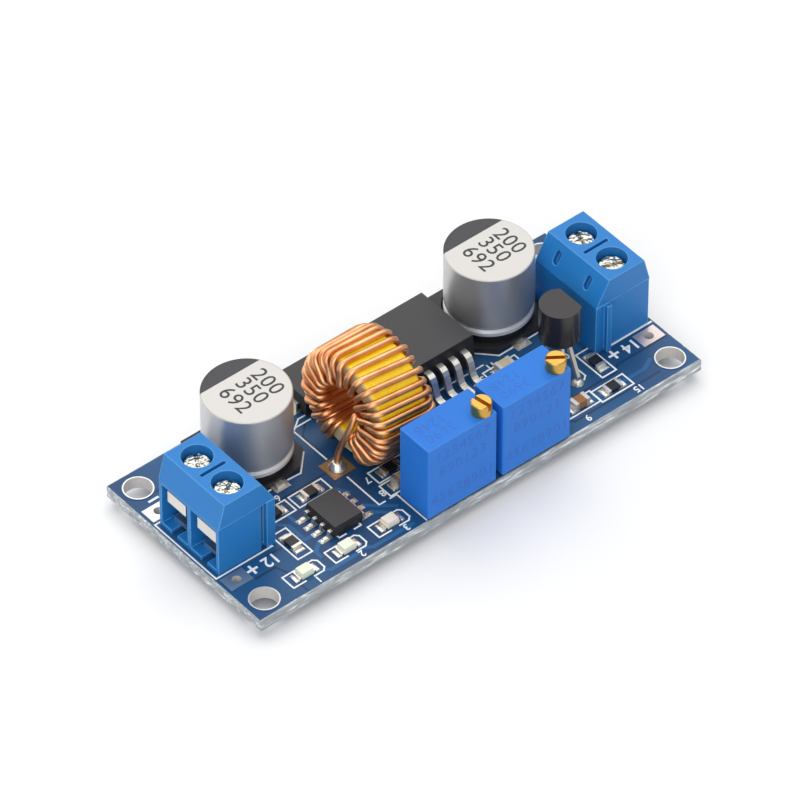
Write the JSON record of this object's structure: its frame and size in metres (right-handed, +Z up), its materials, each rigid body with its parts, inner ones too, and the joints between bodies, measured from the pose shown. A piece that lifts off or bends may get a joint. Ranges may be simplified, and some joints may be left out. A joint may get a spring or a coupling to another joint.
{
  "type": "buck converter module",
  "caption": "Step-down power module: long blue circuit board with screw terminals at both ends, ring inductor, can capacitors and upright trimmers.",
  "frame": {"origin": "centre of the board in plan, at the height of the solder tips it stands on", "axes": "+X from the output terminal to the input terminal, +Y from the trimmer edge to the opposite long edge, +Z up out of the component side"},
  "size_m": [0.0618, 0.0262, 0.0171],
  "materials": {
    "pcb": "blue solder mask on glass fibre",
    "tinned": "hot-dipped tin, bright and a little uneven",
    "solder": "soft bright solder",
    "terminal_plastic": "moulded nylon, semi-gloss",
    "screw_steel": "zinc plated steel",
    "can_aluminium": "drawn bright aluminium",
    "base_plastic": "black heat-proof plastic",
    "trimmer_plastic": "moulded polyester, satin",
    "brass": "turned brass",
    "copper_enamel": "enamelled copper wire",
    "core_paint": "yellow epoxy coat with one white face",
    "chip_black": "black moulding compound",
    "resistor": "black glaze with tinned ends",
    "ceramic": "fired ceramic with tinned ends",
    "lamp": "clear cream resin"
  },
  "bodies": {
    "board": {"pcb": "pcb", "pcb_plating": "tinned", "underside_solder": "solder", "out_terminal_housing": "terminal_plastic", "out_plus_contact": "tinned", "out_minus_contact": "tinned", "in_terminal_housing": "terminal_plastic", "in_plus_contact": "tinned", "in_minus_contact": "tinned", "output_capacitor_base": "base_plastic", "output_capacitor_can": "can_aluminium", "output_capacitor_leads": "tinned", "input_capacitor_base": "base_plastic", "input_capacitor_can": "can_aluminium", "input_capacitor_leads": "tinned", "left_trimmer_body": "trimmer_plastic", "left_trimmer_pins": "tinned", "right_trimmer_body": "trimmer_plastic", "right_trimmer_pins": "tinned", "inductor_core": "core_paint", "inductor_winding": "copper_enamel", "power_chip_body": "chip_black", "power_chip_leads": "tinned", "rectifier_body": "chip_black", "rectifier_leads": "tinned", "amplifier_body": "chip_black", "amplifier_leads": "tinned", "regulator_body": "chip_black", "regulator_leads": "tinned", "chip_resistor_1": "resistor", "chip_resistor_2": "resistor", "chip_resistor_3": "resistor", "chip_resistor_4": "resistor", "chip_resistor_5": "resistor", "chip_resistor_6": "resistor", "chip_capacitor_1": "ceramic", "chip_capacitor_2": "ceramic", "chip_capacitor_3": "ceramic", "indicator_1": "lamp", "indicator_2": "lamp", "indicator_3": "lamp"},
    "out_plus_clamp": {"out_plus_pressure_plate": "tinned"},
    "out_plus_clamp_screw": {"out_plus_screw": "screw_steel"},
    "out_minus_clamp": {"out_minus_pressure_plate": "tinned"},
    "out_minus_clamp_screw": {"out_minus_screw": "screw_steel"},
    "in_plus_clamp": {"in_plus_pressure_plate": "tinned"},
    "in_plus_clamp_screw": {"in_plus_screw": "screw_steel"},
    "in_minus_clamp": {"in_minus_pressure_plate": "tinned"},
    "in_minus_clamp_screw": {"in_minus_screw": "screw_steel"},
    "left_adjuster": {"left_trimmer_screw": "brass"},
    "right_adjuster": {"right_trimmer_screw": "brass"}
  },
  "joints": [
    {"name": "out_plus_turn", "type": "hinge", "parent": "out_plus_clamp", "child": "out_plus_clamp_screw", "pos_m": [-0.0267, -0.00254, 0.0117], "axis": [0, 0, 1], "range_deg": [-1260, 0]},
    {"name": "out_plus_press", "type": "slide", "parent": "board", "child": "out_plus_clamp", "axis": [0, 0, 1], "range_m": [-0.00158, 0]},
    {"name": "out_minus_turn", "type": "hinge", "parent": "out_minus_clamp", "child": "out_minus_clamp_screw", "pos_m": [-0.0267, 0.00254, 0.0117], "axis": [0, 0, 1], "range_deg": [-1260, 0]},
    {"name": "out_minus_press", "type": "slide", "parent": "board", "child": "out_minus_clamp", "axis": [0, 0, 1], "range_m": [-0.00158, 0]},
    {"name": "in_plus_turn", "type": "hinge", "parent": "in_plus_clamp", "child": "in_plus_clamp_screw", "pos_m": [0.0269, -0.00254, 0.0117], "axis": [0, 0, 1], "range_deg": [-1260, 0]},
    {"name": "in_plus_press", "type": "slide", "parent": "board", "child": "in_plus_clamp", "axis": [0, 0, 1], "range_m": [-0.00158, 0]},
    {"name": "in_minus_turn", "type": "hinge", "parent": "in_minus_clamp", "child": "in_minus_clamp_screw", "pos_m": [0.0269, 0.00254, 0.0117], "axis": [0, 0, 1], "range_deg": [-1260, 0]},
    {"name": "in_minus_press", "type": "slide", "parent": "board", "child": "in_minus_clamp", "axis": [0, 0, 1], "range_m": [-0.00158, 0]},
    {"name": "left_trimmer_turn", "type": "hinge", "parent": "board", "child": "left_adjuster", "pos_m": [0.00048, -0.01188, 0.0146], "axis": [0, 0, 1], "continuous": true},
    {"name": "right_trimmer_turn", "type": "hinge", "parent": "board", "child": "right_adjuster", "pos_m": [0.01088, -0.01188, 0.0146], "axis": [0, 0, 1], "continuous": true}
  ],
  "couplings": [
    {"joint": "out_plus_turn", "follows": "out_plus_press", "rad_per_m": 13963},
    {"joint": "out_minus_turn", "follows": "out_minus_press", "rad_per_m": 13963},
    {"joint": "in_plus_turn", "follows": "in_plus_press", "rad_per_m": 13963},
    {"joint": "in_minus_turn", "follows": "in_minus_press", "rad_per_m": 13963}
  ]
}
